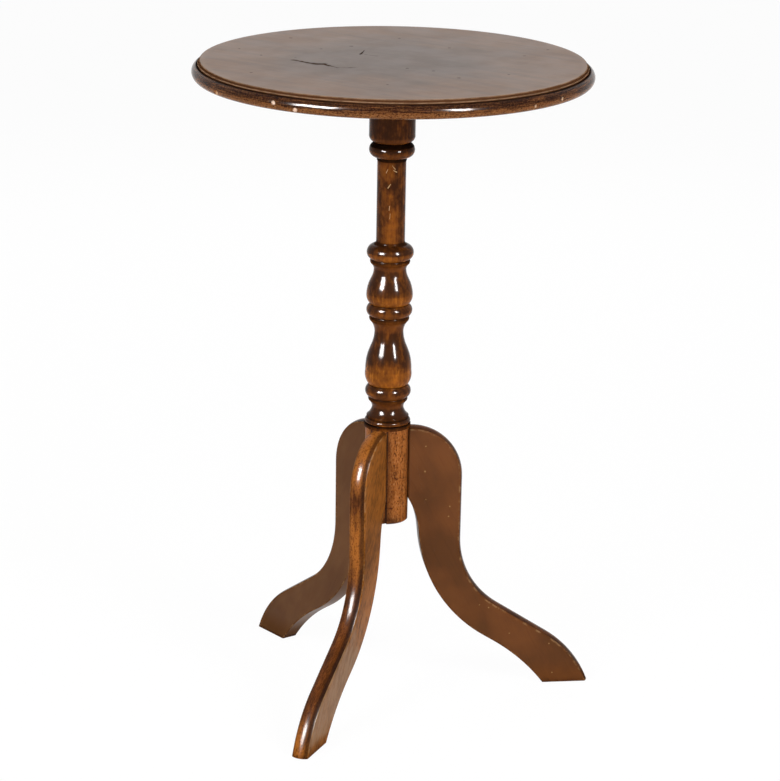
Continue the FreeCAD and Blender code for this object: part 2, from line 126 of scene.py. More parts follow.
# Wear on the top, with places and widths in mm: the lean of its grain, its crack, a bruise, a scratch and
# specks, and how far the block that cuts a groove stands proud, as a share of the depth
TOP_GRAIN = math.radians(-45)
CRACK = (
    (-91, 7), (-85, 1), (-79, -7), (-71, -13), (-66, -13), (-61, -22), (-55, -31), (-46, -31), (-36, -30),
)
CRACK_WIDTHS = (0.6, 2.4, 2.2, 3.6, 5.0, 2.6, 0.5, 0.9, 0.3)
BRUISE = ((-27, 31), (-24.5, 38), (-20.5, 51))
BRUISE_WIDTHS = (1.4, 1.7, 0.4)
SCRATCH = ((-22, 30), (-12, 23))
CRACK_DEPTH = 1.3 * MM
PROUD_SHARE = 0.25
SPECKS = (
    (-118, 32), (-135, 64), (-135, -50), (-88, 19), (-82, 116), (-30, 72), (30, -50), (48, -83), (8, -37),
    (124, 18), (151, 47), (-20, -110), (95, -70), (60, 60), (20, 110), (-60, 60),
)
# Each chip has its angle in degrees, its height and size in mm, and how pale its bare wood is
CHIPS = (
    (-132.1, 600.3, 3.2, 0.9), (-125.3, 595.9, 3.2, 0.7), (-156.3, 596.2, 3.0, 0.2),
    (-43.3, 598.9, 2.6, 0.3), (-54.9, 597.2, 2.2, 0.3), (24.0, 598.0, 2.6, 0.5),
    (71.0, 596.5, 3.0, 0.3), (112.0, 600.0, 2.2, 0.6), (163.0, 597.5, 2.8, 0.2),
)
CHIP_DEPTH_SHARE = 0.2
# Pale scratches in the lacquer of the shaft, each between two places in mm
NICKS = (
    ((-1.2, -13.3, 515), (1.4, -13.3, 511.8)), ((0, -13.4, 510.6), (2.9, -13.1, 509)),
    ((-6.6, -11.7, 508), (-5.2, -12.4, 511.5)), ((-4.9, -12.5, 494), (-2.6, -13.1, 497.6)),
    ((-3.5, -13, 473), (-3.2, -13, 477)), ((-2.8, -13.1, 465), (-2.5, -13.2, 470)),
)

# How finely round shapes are divided
TURNING_STEPS = 160
RIM_STEPS = 900
ARC_STEP = math.radians(9)
CROWN_CUTS = 11

# Below which angle an edge is flat, and above which it is eased, holds grime and painted shade or is shaded
# as crisp
FLAT_ANGLE = math.radians(0.5)
CLEAT_ANGLE = math.radians(20)
LEG_ANGLE = math.radians(25)
QUIRK_ANGLE = math.radians(35)
CRISP_ANGLE = math.radians(40)
TURNED_ANGLE = math.radians(50)
# How far the normal of a leg's flat side points sideways
SIDEWAYS = 0.99

# Places of the top's further finishes, after that of its face
RIM_SLOT, CRACK_SLOT, UNDERSIDE_SLOT = 1, 2, 3


class Pen:
    """Draws a half section in the XZ plane with one vertex that is pulled along."""

    def __init__(self, across, up):
        self.mesh = bmesh.new()
        self.tip = self.mesh.verts.new((across, 0, up))

    def line(self, across, up):
        made = bmesh.ops.extrude_vert_indiv(self.mesh, verts=[self.tip])
        self.tip = made["verts"][0]
        self.tip.co = (across, 0, up)

    def arc(self, across, up, bulge):
        """An arc that stands proud of its chord by a share of it, and is hollow where that is negative."""
        start, end = self.tip.co.copy(), Vector((across, 0, up))
        chord = end - start
        outwards = Vector((chord.z, 0, -chord.x))
        centre = (start + end) / 2 + outwards * (bulge - (0.25 + bulge * bulge) / (2 * bulge))
        sweep = 4 * math.atan(2 * bulge)
        steps = max(3, math.ceil(abs(sweep) / ARC_STEP))
        made = bmesh.ops.spin(
            self.mesh, geom=[self.tip], cent=centre, axis=(0, 1, 0), angle=-sweep, steps=steps
        )
        self.tip = made["geom_last"][0]
        self.tip.co = end

    def turned(self, steps):
        """The section spun round the table's axis."""
        geometry = self.mesh.verts[:] + self.mesh.edges[:]
        bmesh.ops.spin(
            self.mesh, geom=geometry, cent=(0, 0, 0), axis=(0, 0, 1),
            angle=FULL_TURN, steps=steps, use_merge=True,
        )
        bmesh.ops.remove_doubles(self.mesh, verts=self.mesh.verts, dist=WELD)
        bmesh.ops.recalc_face_normals(self.mesh, faces=self.mesh.faces)
        return self.mesh


def sharp_edges(mesh, limit):
    """Edges whose two faces turn by more than an angle."""
    return [edge for edge in mesh.edges if edge.is_manifold and edge.calc_face_angle() > limit]


def soften(mesh, edges, width, segments=3):
    """Round edges over, and give back the faces of the rounds."""
    made = bmesh.ops.bevel(
        mesh, geom=edges, affect="EDGES", offset=width, segments=segments, profile=0.5, material=-1
    )
    return made["faces"]


def new_object(name, mesh):
    data = bpy.data.meshes.new(name)
    mesh.to_mesh(data)
    mesh.free()
    piece = bpy.data.objects.new(name, data)
    bpy.context.scene.collection.objects.link(piece)
    return piece


def carve(piece, cutters):
    """Cut blocks out of a piece for good."""
    tool = new_object("cutters", cutters)
    cut = piece.modifiers.new("cut", "BOOLEAN")
    cut.object = tool
    cut.operation = "DIFFERENCE"
    cut.solver = "EXACT"
    shown = piece.evaluated_get(bpy.context.evaluated_depsgraph_get())
    carved = bpy.data.meshes.new_from_object(shown)
    piece.modifiers.clear()
    piece.data = carved
    bpy.data.objects.remove(tool)


def finish_piece(piece, node, slot, *materials):
    """Smooth the piece between its crisp edges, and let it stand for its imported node."""
    piece.data.shade_smooth()
    piece.data.set_sharp_from_angle(angle=CRISP_ANGLE)
    weighted = piece.modifiers.new("flat faces stay flat", "WEIGHTED_NORMAL")
    weighted.keep_sharp = True
    piece.data.materials.clear()
    for material in materials:
        piece.data.materials.append(material)
    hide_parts(node)
    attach(piece, "root")


def merged_copy(node):
    """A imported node's mesh with its loose triangles joined into clean faces."""
    mesh = bmesh.new()
    mesh.from_mesh(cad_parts[node].data)
    bmesh.ops.remove_doubles(mesh, verts=mesh.verts, dist=WELD)
    bmesh.ops.dissolve_limit(mesh, angle_limit=FLAT_ANGLE, verts=mesh.verts, edges=mesh.edges)
    bmesh.ops.recalc_face_normals(mesh, faces=mesh.faces)
    return mesh


def chip_centre(angle, height):
    """A place on the rim's nose, at an angle in degrees and a height in mm."""
    angle = math.radians(angle)
    middle = (top_low.z + LEDGE_HEIGHT - EDGE_QUIRK) / 2
    half = middle - top_low.z
    radius = NOSE_ROOT + EDGE_NOSE * math.sqrt(1 - ((height * MM - middle) / half) ** 2)
    return Vector((radius * math.cos(angle), radius * math.sin(angle), height * MM))


def chip_rim(mesh):
    """Slice small flats off the nose of the rim."""
    for angle, height, size, _ in CHIPS:
        centre = chip_centre(angle, height)
        outwards = Vector((centre.x, centre.y, 0)).normalized()
        depth = CHIP_DEPTH_SHARE * size * MM
        for vertex in mesh.verts:
            offset = vertex.co - centre
            proud = offset.dot(outwards) + depth
            if proud > 0 and offset.length < size * MM:
                vertex.co -= outwards * proud


def groove(mesh, path, widths, depth):
    """Add a V-shaped block that runs along a path on the top's face."""
    places = [Vector(place).to_3d() * MM for place in path]
    half = (Vector(path[-1]) - Vector(path[0])).orthogonal().normalized().to_3d() * widths[0] * MM / 2
    low = Vector((0, 0, top_high.z - depth))
    high = Vector((0, 0, top_high.z + depth * PROUD_SHARE))
    corners = [places[0] + half + high, places[0] - half + high, places[0] + low]
    made = bmesh.ops.contextual_create(mesh, geom=[mesh.verts.new(corner) for corner in corners])
    face = first = made["faces"][0]
    for number in range(1, len(path)):
        made = bmesh.ops.extrude_face_region(mesh, geom=[face])
        if face is not first:
            bmesh.ops.delete(mesh, geom=[face], context="FACES_ONLY")
        face = next(part for part in made["geom"] if isinstance(part, bmesh.types.BMFace))
        bmesh.ops.translate(mesh, verts=face.verts, vec=places[number] - places[number - 1])
        growth = widths[number] / widths[number - 1]
        middle = Matrix.Translation(-places[number])
        bmesh.ops.scale(mesh, verts=face.verts, vec=(growth, growth, 1), space=middle)


def make_top(*materials):
    """The top board with its face, moulded rim, crack and underside, each in its own finish."""
    pen = Pen(0, top_low.z)
    pen.line(NOSE_ROOT - EDGE_BAND, top_low.z)
    pen.line(NOSE_ROOT, top_low.z)
    nose_top = LEDGE_HEIGHT - EDGE_QUIRK
    pen.arc(NOSE_ROOT, nose_top, EDGE_NOSE / (nose_top - top_low.z))
    pen.line(NOSE_ROOT, LEDGE_HEIGHT)
    pen.line(FLAT_RADIUS, LEDGE_HEIGHT)
    pen.line(FLAT_RADIUS, top_high.z)
    pen.line(FLAT_RADIUS - EDGE_BAND, top_high.z)
    pen.line(0, top_high.z)
    mesh = pen.turned(RIM_STEPS)
    soften(mesh, sharp_edges(mesh, TURNED_ANGLE), EDGE_EASE)
    chip_rim(mesh)
    piece = new_object("top_board", mesh)
    cracks = bmesh.new()
    groove(cracks, CRACK, CRACK_WIDTHS, CRACK_DEPTH)
    groove(cracks, BRUISE, BRUISE_WIDTHS, CRACK_DEPTH)
    bmesh.ops.recalc_face_normals(cracks, faces=cracks.faces)
    carve(piece, cracks)
    finish_piece(piece, "table_top", "top_wood", *materials)
    for face in piece.data.polygons:
        if face.center.z < top_low.z + WELD:
            face.material_index = UNDERSIDE_SLOT
        elif face.center.xy.length > FLAT_RADIUS - EDGE_EASE:
            face.material_index = RIM_SLOT
        elif face.center.z < top_high.z - WELD:
            face.material_index = CRACK_SLOT


def turned_column():
    """The whole turning, marked with its members' grime and painted shade, and their amber with painted
    glow.
    """
    members = BASE + LOWER_KNOP + UPPER_KNOP + SHAFT + DRUM
    per_share = (cleat_low.z - HUB_TOP) / sum(member[0] for member in members)
    pen = Pen(0, column_low.z)
    pen.line(HUB_RADIUS - HUB_CHAMFER, column_low.z)
    pen.line(HUB_RADIUS, column_low.z + HUB_CHAMFER)
    pen.line(HUB_RADIUS, HUB_TOP)
    height = HUB_TOP
    worn = []
    # The last two numbers of a member are its grime with painted shade, and its amber with painted glow
    for share, radius, bulge, *wear in members:
        worn.append((height, height + share * per_share, wear))
        height += share * per_share
        if bulge:
            pen.arc(radius * MM, height, bulge)
        else:
            pen.line(radius * MM, height)
    pen.line(TENON_RADIUS, cleat_low.z)
    pen.line(TENON_RADIUS, column_high.z)
    pen.line(0, column_high.z)
    mesh = pen.turned(TURNING_STEPS)
    grime_and_shade, amber_and_glow = [mesh.verts.layers.float.new(name) for name in ("grime_and_shade", "amber_and_glow")]
    for low, high, wear in worn:
        for vertex in mesh.verts:
            if low - WELD < vertex.co.z < high + WELD:
                for layer, amount in zip((grime_and_shade, amber_and_glow), wear):
                    vertex[layer] = max(vertex[layer], amount)
    # Concave quirks get full grime: dirt with painted shade in the recess
    for edge in mesh.edges:
        if edge.is_manifold and edge.calc_face_angle_signed() < -QUIRK_ANGLE:
            for vertex in edge.verts:
                vertex[grime_and_shade] = 1.0
    return mesh


def prism(mesh, corners, rise):
    """Add a block to the mesh by raising a flat outline."""
    outline = bmesh.ops.contextual_create(mesh, geom=[mesh.verts.new(corner) for corner in corners])
    raised = bmesh.ops.extrude_face_region(mesh, geom=outline["faces"])
    moved = [part for part in raised["geom"] if isinstance(part, bmesh.types.BMVert)]
    bmesh.ops.translate(mesh, verts=moved, vec=rise)


def joint_cutters():
    """Blocks that cut the three dovetail sockets and the tenon's kerf."""
    mesh = bmesh.new()
    half_leg = LEG_THICKNESS / 2
    flat = math.sqrt(HUB_RADIUS**2 - half_leg**2)
    outside = HUB_RADIUS + CUT_REACH
    inside = flat - TAIL_DEPTH
    neck, root = TAIL_NECK / 2 + JOINT_GAP, TAIL_ROOT / 2 + JOINT_GAP
    below = column_low.z - CUT_REACH
    plan = (
        (flat, -half_leg), (outside, -half_leg), (outside, half_leg), (flat, half_leg),
        (flat, neck), (inside, root), (inside, -root), (flat, -neck),
    )
    prism(mesh, [(x, y, below) for x, y in plan], (0, 0, HUB_TOP - below))
    bmesh.ops.spin(
        mesh, geom=mesh.verts[:] + mesh.edges[:] + mesh.faces[:], cent=(0, 0, 0), axis=(0, 0, 1),
        angle=FULL_TURN * 2 / 3, steps=2, use_duplicate=True,
    )
    mouth, foot = KERF_MOUTH / 2, KERF_FOOT / 2
    low, high = column_high.z - KERF_DEPTH, column_high.z + CUT_REACH
    section = ((-foot, low), (foot, low), (mouth, column_high.z), (mouth, high), (-mouth, high),
               (-mouth, column_high.z))
    prism(mesh, [(x, -HUB_RADIUS, z) for x, z in section], (0, 2 * HUB_RADIUS, 0))
    bmesh.ops.recalc_face_normals(mesh, faces=mesh.faces)
    return mesh


def make_column(material):
    mesh = turned_column()
    soften(mesh, sharp_edges(mesh, TURNED_ANGLE), COLUMN_EASE, segments=2)
    piece = new_object("turned_column", mesh)
    carve(piece, joint_cutters())
    finish_piece(piece, "column", "column_wood", material)


def leg_side(node, turn):
    """A mesh of one flat side of a packed leg, turned to lie along +X, and its only face."""
    mesh = merged_copy(node)
    bmesh.ops.rotate(mesh, verts=mesh.verts, cent=(0, 0, 0), matrix=Matrix.Rotation(-turn, 3, "Z"))
    mesh.normal_update()
    flat = [face for face in mesh.faces if face.normal.y < -SIDEWAYS]
    side = max(flat, key=lambda face: face.calc_area())
    others = [face for face in mesh.faces if face is not side]
    bmesh.ops.delete(mesh, geom=others, context="FACES")
    return mesh, side


def outer_line(side):
    """Corners of the side from the top of its seat over the knee to the toe."""
    corners = [loop.vert for loop in side.loops]
    near = min(corner.co.x for corner in corners)
    seat = [corner for corner in corners if corner.co.x < near + SLACK]
    start = corners.index(max(seat, key=lambda corner: corner.co.z))
    corners = corners[start:] + corners[:start]
    if corners[1].co.z < corners[-1].co.z:
        corners = corners[:1] + corners[:0:-1]
    toe = next(number for number, corner in enumerate(corners) if corner.co.z < SLACK)
    return corners[:toe + 1]


def outward(line, number):
    """Direction square to the outer line at a corner, but upright at the seat and level at the toe."""
    last = len(line) - 1
    if number == 0:
        return Vector((0, 0, 1))
    along = line[min(number + 1, last)] - line[number - 1]
    square = Vector((-along.z, 0, along.x)).normalized()
    return Vector((1 / square.x, 0, 0)) if number == last else square


def crown_height(across):
    """How far the crown stands proud of its arrises, at a distance from its middle."""
    half = LEG_THICKNESS / 2
    radius = (half**2 + CROWN_RISE**2) / (2 * CROWN_RISE)
    return math.sqrt(radius**2 - across**2) - (radius - CROWN_RISE)


def leg_blank(node, turn):
    """A leg as it is sawn from its board, along +X, and the places of its outer line."""
    mesh, side = leg_side(node, turn)
    line = [corner.co.copy() for corner in outer_line(side)]
    raised = bmesh.ops.extrude_face_region(mesh, geom=[side])
    moved = [part for part in raised["geom"] if isinstance(part, bmesh.types.BMVert)]
    bmesh.ops.translate(mesh, verts=moved, vec=(0, LEG_THICKNESS, 0))
    bmesh.ops.recalc_face_normals(mesh, faces=mesh.faces)
    return mesh, line


def raise_crown(mesh, line):
    """Round the outer face of a leg, and mark its crown and how far along the leg each place lies."""
    half = LEG_THICKNESS / 2
    places = {(round(place.x / WELD), round(place.z / WELD)): number for number, place in enumerate(line)}

    def number_of(vertex):
        return places.get((round(vertex.co.x / WELD), round(vertex.co.z / WELD)))

    across = [
        edge for edge in mesh.edges
        if abs(edge.verts[0].co.y - edge.verts[1].co.y) > half and number_of(edge.verts[0]) is not None
    ]
    bmesh.ops.subdivide_edges(mesh, edges=across, cuts=CROWN_CUTS, use_grid_fill=True)
    crown, along = [mesh.verts.layers.float.new(name) for name in ("crown", "along")]
    runs = [0.0]
    for near, far in zip(line, line[1:]):
        runs.append(runs[-1] + (far - near).length)
    for vertex in mesh.verts:
        number = number_of(vertex)
        if number is None:
            continue
        vertex[along] = runs[number]
        if abs(vertex.co.y) < half - WELD:
            vertex[crown] = 1.0
            vertex.co += outward(line, number) * crown_height(vertex.co.y)


def add_tail(mesh):
    """Draw the dovetail tail out of the middle of a leg's seat."""
    seat = min(mesh.faces, key=lambda face: face.calc_center_median().x)
    for share in (-1, 1):
        parts = [seat] + list(seat.edges) + list(seat.verts)
        bmesh.ops.bisect_plane(
            mesh, geom=parts, dist=WELD, plane_co=(0, share * TAIL_NECK / 2, 0), plane_no=(0, 1, 0)
        )
        plane = seat.calc_center_median().x + SLACK
        strips = [face for face in mesh.faces if face.calc_center_median().x < plane]
        seat = min(strips, key=lambda face: abs(face.calc_center_median().y))
    tail = bmesh.ops.extrude_face_region(mesh, geom=[seat])
    tail_end = [part for part in tail["geom"] if isinstance(part, bmesh.types.BMVert)]
    bmesh.ops.delete(mesh, geom=[seat], context="FACES_ONLY")
    bmesh.ops.translate(mesh, verts=tail_end, vec=(-TAIL_DEPTH, 0, 0))
    bmesh.ops.scale(mesh, verts=tail_end, vec=(1, TAIL_ROOT / TAIL_NECK, 1))


def ease_arrises(mesh, seat):
    """Round the arrises of a leg outside its seat, and mark those along its crown as worn."""
    arris = mesh.verts.layers.float.new("arris")
    along = mesh.verts.layers.float["along"]
    mesh.normal_update()
    edges = [
        edge for edge in sharp_edges(mesh, LEG_ANGLE)
        if min(vertex.co.x for vertex in edge.verts) > seat - WELD
        and max(vertex.co.x for vertex in edge.verts) > seat + WELD
    ]
    for face in soften(mesh, edges, LEG_EASE):
        for vertex in face.verts:
            vertex[arris] = 1.0 if vertex[along] else 0.0
    mesh.normal_update()
    least_area = (LEG_THICKNESS / 2) ** 2
    sides = [face for face in mesh.faces if abs(face.normal.y) > SIDEWAYS and face.calc_area() > least_area]
    for face in sides:
        bmesh.ops.inset_region(mesh, faces=[face], thickness=SIDE_BORDER, use_even_offset=True)
        for vertex in face.verts:
            vertex[arris] = 0.0


def make_leg(name, turn, material):
    """An S-curved leg grown from its packed side."""
    mesh, line = leg_blank(f"{name}_leg", turn)
    raise_crown(mesh, line)
    add_tail(mesh)
    ease_arrises(mesh, line[0].x)
    bmesh.ops.rotate(mesh, verts=mesh.verts, cent=(0, 0, 0), matrix=Matrix.Rotation(turn, 3, "Z"))
    finish_piece(new_object(f"shaped_{name}_leg", mesh), f"{name}_leg", "leg_wood", material)


def make_cleat(material):
    mesh = merged_copy("cleat")
    soften(mesh, sharp_edges(mesh, CLEAT_ANGLE), CLEAT_EASE, segments=2)
    finish_piece(new_object("bearer", mesh), "cleat", "cleat_wood", material)


class Field:
    """A number or colour that changes over a surface. Arithmetic on it adds Math nodes."""

    def __init__(self, tree, socket):
        self.tree, self.socket = tree, socket

    def maths(self, operation, first, second=0.0):
        return self.tree.node("ShaderNodeMath", {"operation": operation}, {0: first, 1: second})

    def __add__(self, other):
        return self.maths("ADD", self, other)

    __radd__ = __add__

    def __sub__(self, other):
        return self.maths("SUBTRACT", self, other)

    def __rsub__(self, other):
        return self.maths("SUBTRACT", other, self)

    def __mul__(self, other):
        return self.maths("MULTIPLY", self, other)

    __rmul__ = __mul__

    def __truediv__(self, other):
        return self.maths("DIVIDE", self, other)

    def __abs__(self):
        return self.maths("ABSOLUTE", self)

    def root(self):
        return self.maths("SQRT", self)

    def capped(self, highest):
        return self.maths("MINIMUM", self, highest)

    def step(self, low, high):
        """0 below low, 1 above high, smooth between."""
        inputs = {"Value": self, "From Min": low, "From Max": high}
        return self.tree.node("ShaderNodeMapRange", {"interpolation_type": "SMOOTHSTEP"}, inputs)

    def within(self, inner, outer):
        """1 below inner, 0 above outer, smooth between."""
        return 1 - self.step(inner, outer)

    def blend(self, first, second):
        """The first colour where this is 0, the second where it is 1."""
        return self.tree.node("ShaderNodeMix", {"data_type": "RGBA"}, {0: self, 6: first, 7: second}, 2)


class Tree:
    """The nodes of a material or a world."""

    def __init__(self, owner):
        owner.use_nodes = True
        self.owner = owner
        self.nodes, self.links = owner.node_tree.nodes, owner.node_tree.links
        self.nodes.clear()

    def node(self, kind, settings=None, inputs=None, output=0):
        made = self.nodes.new(kind)
        for name, value in (settings or {}).items():
            setattr(made, name, value)
        for name, value in (inputs or {}).items():
            if isinstance(value, Field):
                self.links.new(value.socket, made.inputs[name])
            else:
                made.inputs[name].default_value = value
        return Field(self, made.outputs[output]) if len(made.outputs) else None

    def place(self):
        return self.node("ShaderNodeTexCoord", output="Object")

    def turned_place(self, turn):
        """The place as seen from axes that are turned."""
        inputs = {"Vector": self.place(), "Rotation": turn}
        return self.node("ShaderNodeMapping", {"vector_type": "TEXTURE"}, inputs)

    def parts(self, vector):
        return [self.node("ShaderNodeSeparateXYZ", inputs={0: vector}, output=axis) for axis in range(3)]

    def axis_distance(self):
        """Distance from the table's upright axis."""
        level = self.vector("MULTIPLY", self.place(), (1, 1, 0))
        return self.vector("DISTANCE", level, (0, 0, 0), "Value")

    def vector(self, operation, first, second, output=0):
        return self.node("ShaderNodeVectorMath", {"operation": operation}, {0: first, 1: second}, output)

    def distance(self, point):
        return self.vector("DISTANCE", self.place(), point, "Value")

    def attribute(self, name):
        return self.node("ShaderNodeAttribute", {"attribute_name": name}, output="Fac")

    def noise(self, size, place=None, shift=0.0, detail=3.0, roughness=0.55):
        """Noise whose lumps have that size in mm along each axis."""
        inputs = {
            "Vector": place or self.place(), "Location": (shift, shift, shift),
            "Scale": [length * MM for length in size],
        }
        grain = self.node("ShaderNodeMapping", {"vector_type": "TEXTURE"}, inputs)
        inputs = {"Vector": grain, "Scale": 1.0, "Detail": detail, "Roughness": roughness}
        return self.node("ShaderNodeTexNoise", inputs=inputs)

    def spots(self, spacing, radius):
        """1 in small round spots that lie about a spacing apart, both in mm."""
        inputs = {"Vector": self.place(), "Scale": 1 / (spacing * MM)}
        near = self.node("ShaderNodeTexVoronoi", inputs=inputs, output="Distance")
        return near.within(0.6 * radius / spacing, radius / spacing)

    def bump(self, height, distance):
        inputs = {"Height": height, "Distance": distance, "Strength": 0.5}
        return self.node("ShaderNodeBump", inputs=inputs, output="Normal")

    def surface(self, **inputs):
        sockets = {name.replace("_", " "): value for name, value in inputs.items()}
        return self.node("ShaderNodeBsdfPrincipled", inputs=sockets)

    def close(self, polished, dull_share=0.0, dull_colour=None):
        """End the material in a polished surface that is matt over a share of it."""
        if dull_colour:
            matt = self.surface(Base_Color=dull_colour, Roughness=1.0, Specular_IOR_Level=0.0)
            polished = self.node("ShaderNodeMixShader", inputs={0: dull_share, 1: polished, 2: matt})
        self.node("ShaderNodeOutputMaterial", inputs={"Surface": polished})
        return self.owner


def colour(red, green, blue):
    """A colour as a screen shows it, from 0 to 255, as light."""
    shares = [part / 255 for part in (red, green, blue)]
    return [part / 12.92 if part < 0.04045 else ((part + 0.055) / 1.055) ** 2.4 for part in shares] + [1.0]


def new_finish(name):
    return Tree(bpy.data.materials.new(name))


# Colours that several pieces share
NEAR_BLACK = colour(24, 13, 7)
DARK_BROWN = colour(58, 30, 11)
BARE_WOOD = colour(196, 150, 98)
WHITE = colour(255, 255, 255)

# Colours of the top
TOP_MIDDLE = colour(89, 67, 52)
TOP_OUTSIDE = colour(114, 80, 52)
TOP_FIGURE = colour(68, 48, 36)
TOP_STREAKS = colour(50, 34, 26)
TOP_CLOUDS = colour(120, 94, 74)
TOP_WORN = colour(142, 112, 88)
SCAR_DIRT = colour(46, 32, 24)
CRACK_WALLS = colour(64, 49, 40)
UNDERSIDE_WOOD = colour(84, 60, 40), colour(122, 92, 66)

# Colours of the rim
RIM_DARK = colour(44, 19, 6)
RIM_BROWN = colour(128, 78, 40)
RIM_MOTTLE = colour(156, 110, 68)
RIM_LEDGE = colour(88, 58, 38)
RIM_WORN = colour(156, 122, 94)
PALE_CHIP = colour(240, 214, 196)

# Colours of the column and its hub
COLUMN_BROWN = colour(92, 49, 18)
AMBER = colour(160, 90, 26)
GOLD = colour(196, 124, 40)
NICKED = colour(222, 178, 124)
HUB_BROWN = colour(130, 72, 26)
HUB_ORANGE = colour(178, 106, 48)
HUB_PORES = colour(54, 28, 12)
HUB_FLECKS = colour(196, 138, 80)
HUB_JOINT_SHADE = colour(84, 42, 12)

# Colours of the legs, first of each leg's sides, dark and light
LEG_SIDES = {
    "right": (colour(88, 53, 27), colour(108, 64, 33)),
    "left": (colour(94, 60, 33), colour(108, 71, 41)),
    "front": (colour(122, 72, 26), colour(156, 94, 38)),
}
SIDE_FLECKS = colour(166, 102, 44)
SIDE_BLEACHED = colour(148, 114, 84)
CROWN_BROWN = colour(112, 60, 22)
CROWN_AMBER = colour(172, 102, 40)
LEG_WORN = colour(158, 120, 82)

# Colours of the hidden pieces: dark and light wood, bright and dulled steel
CLEAT_WOOD = colour(92, 66, 44), colour(134, 102, 74)
WEDGE_WOOD = colour(148, 122, 92), colour(188, 160, 126)
SCREW_STEEL = colour(166, 160, 152), colour(104, 90, 76)

# Where the wear of the top and rim and the painted light low on the rim begin to fade and end, and how far
# their outline wanders
WORN_BAND = FLAT_RADIUS - 7 * MM, FLAT_RADIUS
SCAR_SHARES = 0.1, 1.3
SCRATCH_FADE = 0.4 * MM, 1.6 * MM
SPECK_FADE = 0.6 * MM, 2.0 * MM
SCAR_RAGGED = 5 * MM
RIM_LIT_LOW_BAND = top_low.z + 1 * MM, top_low.z + 9 * MM
QUIRK_FADE = 0.2 * MM, 0.8 * MM
RIM_ARRIS_FADE = 0.3 * MM, 1.0 * MM
CHIP_SHARES = 0.4, 0.8
CHIP_RAGGED = 3 * MM

# The same for the column, and for the painted shade beside the leg joints on the hub
HUB_BAND = HUB_TOP - 0.5 * MM, HUB_TOP
HUB_FOOT_BAND = column_low.z + 2 * MM, column_low.z + 13 * MM
JOINT_SHADE_FADE = 1 * MM, 7 * MM
JOINT_DIRT_FADE = 0.3 * MM, 1.5 * MM
NICK_FADE = 0.05 * MM, 0.6 * MM
NICK_RAGGED = 1.5 * MM

# The same for the legs, and for their painted amber glow and the painted shade beside their crowns' arrises
SEAT_BAND = HUB_RADIUS - 0.5 * MM, HUB_RADIUS + 1.4 * MM
SOLE_BAND = 0.5 * MM, 5 * MM
SCUFF_BAND = 6 * MM, 26 * MM
BLEACH_BAND = 60 * MM, 98 * MM
BLEACH_FOOT = 5 * MM, 13 * MM
BLEACH_WAVES = 60 * MM
BLEACH_BLOTCHES = 90 * MM
DING_FADE = 0.4 * MM, 0.9 * MM
DING_RAGGED = 1.5 * MM
GLOW_FADE = 6 * MM, 52 * MM
FAR_SHADE = 2 * MM, 5 * MM
FAR_SHADE_RAGGED = 5 * MM
NEAR_SHADE_WIDTH = 2.5 * MM

# How deep the grain and the mottling of the polish are
GRAIN_BUMP = 0.1 * MM
RIM_BUMP = 0.05 * MM


def near_line(tree, start, end):
    """Distance from a straight line between two places in mm."""
    start, end = Vector(start) * MM, Vector(end) * MM
    run = end - start
    offset = tree.vector("SUBTRACT", tree.place(), start)
    share = tree.vector("DOT_PRODUCT", offset, run, "Value") / run.length_squared
    share = tree.node("ShaderNodeClamp", inputs={"Value": share})
    nearest = tree.node("ShaderNodeVectorMath", {"operation": "SCALE"}, {0: run, "Scale": share})
    return tree.vector("DISTANCE", offset, nearest, "Value")


def ring_distance(tree, radius, height):
    """Distance from a level ring round the table's axis."""
    outwards = tree.axis_distance() - radius
    upwards = tree.parts(tree.place())[2] - height
    return (outwards * outwards + upwards * upwards).root()


def on_top(place):
    """A place on the top's face, in mm."""
    return place[0], place[1], top_high.z / MM


def top_finish():
    """Worn polish, cooler in the middle and warmer towards the edge, dark in its crack."""
    tree = new_finish("worn_top_polish")
    grain = tree.turned_place((0, 0, TOP_GRAIN))
    figure = tree.noise((150, 12, 40), grain, detail=5)
    streaks = tree.noise((70, 1.6, 10), grain, detail=4)
    clouds = tree.noise((60, 60, 60), detail=5, roughness=0.6)
    warm = (tree.axis_distance() / FLAT_RADIUS + clouds).step(0.75, 1.45)
    wood = warm.blend(TOP_MIDDLE, TOP_OUTSIDE)
    wood = (figure.step(0.42, 0.75) * 0.4).blend(wood, TOP_FIGURE)
    wood = (streaks.step(0.46, 0.72) * 0.35).blend(wood, TOP_STREAKS)
    wood = (clouds.step(0.5, 0.72) * 0.2).blend(wood, TOP_CLOUDS)
    worn_edge = tree.axis_distance().step(*WORN_BAND) * (0.2 + clouds * 0.4)
    wood = worn_edge.blend(wood, TOP_WORN)
    ragged = (tree.noise((5, 5, 5), detail=3) - 0.5) * SCAR_RAGGED
    scars = 0
    for path, widths in ((CRACK, CRACK_WIDTHS), (BRUISE, BRUISE_WIDTHS)):
        for start, end, width in zip(path, path[1:], widths[1:]):
            line = near_line(tree, on_top(start), on_top(end)) + ragged
            scars = line.within(*[share * width * MM for share in SCAR_SHARES]) + scars
    scratch = near_line(tree, *[on_top(place) for place in SCRATCH]) + ragged
    scars = scratch.within(*SCRATCH_FADE) * 0.4 + scars
    for place in SPECKS:
        speck = tree.distance([part * MM for part in on_top(place)]) + ragged
        scars = speck.within(*SPECK_FADE) * 0.7 + scars
    dull = tree.noise((35, 35, 35), detail=4).step(0.3, 0.7)
    polish = tree.surface(
        Base_Color=wood,
        Roughness=0.28 + dull * 0.06,
        Specular_IOR_Level=0.12,
        Normal=tree.bump(streaks * 0.3 + dull * 0.5, GRAIN_BUMP),
    )
    return tree.close(polish, scars.capped(1.0) * 0.75, SCAR_DIRT)


def crack_finish():
    """Old dirt on the walls of a crack."""
    tree = new_finish("crack_dirt")
    return tree.close(tree.surface(Base_Color=CRACK_WALLS, Roughness=1.0, Specular_IOR_Level=0.0))


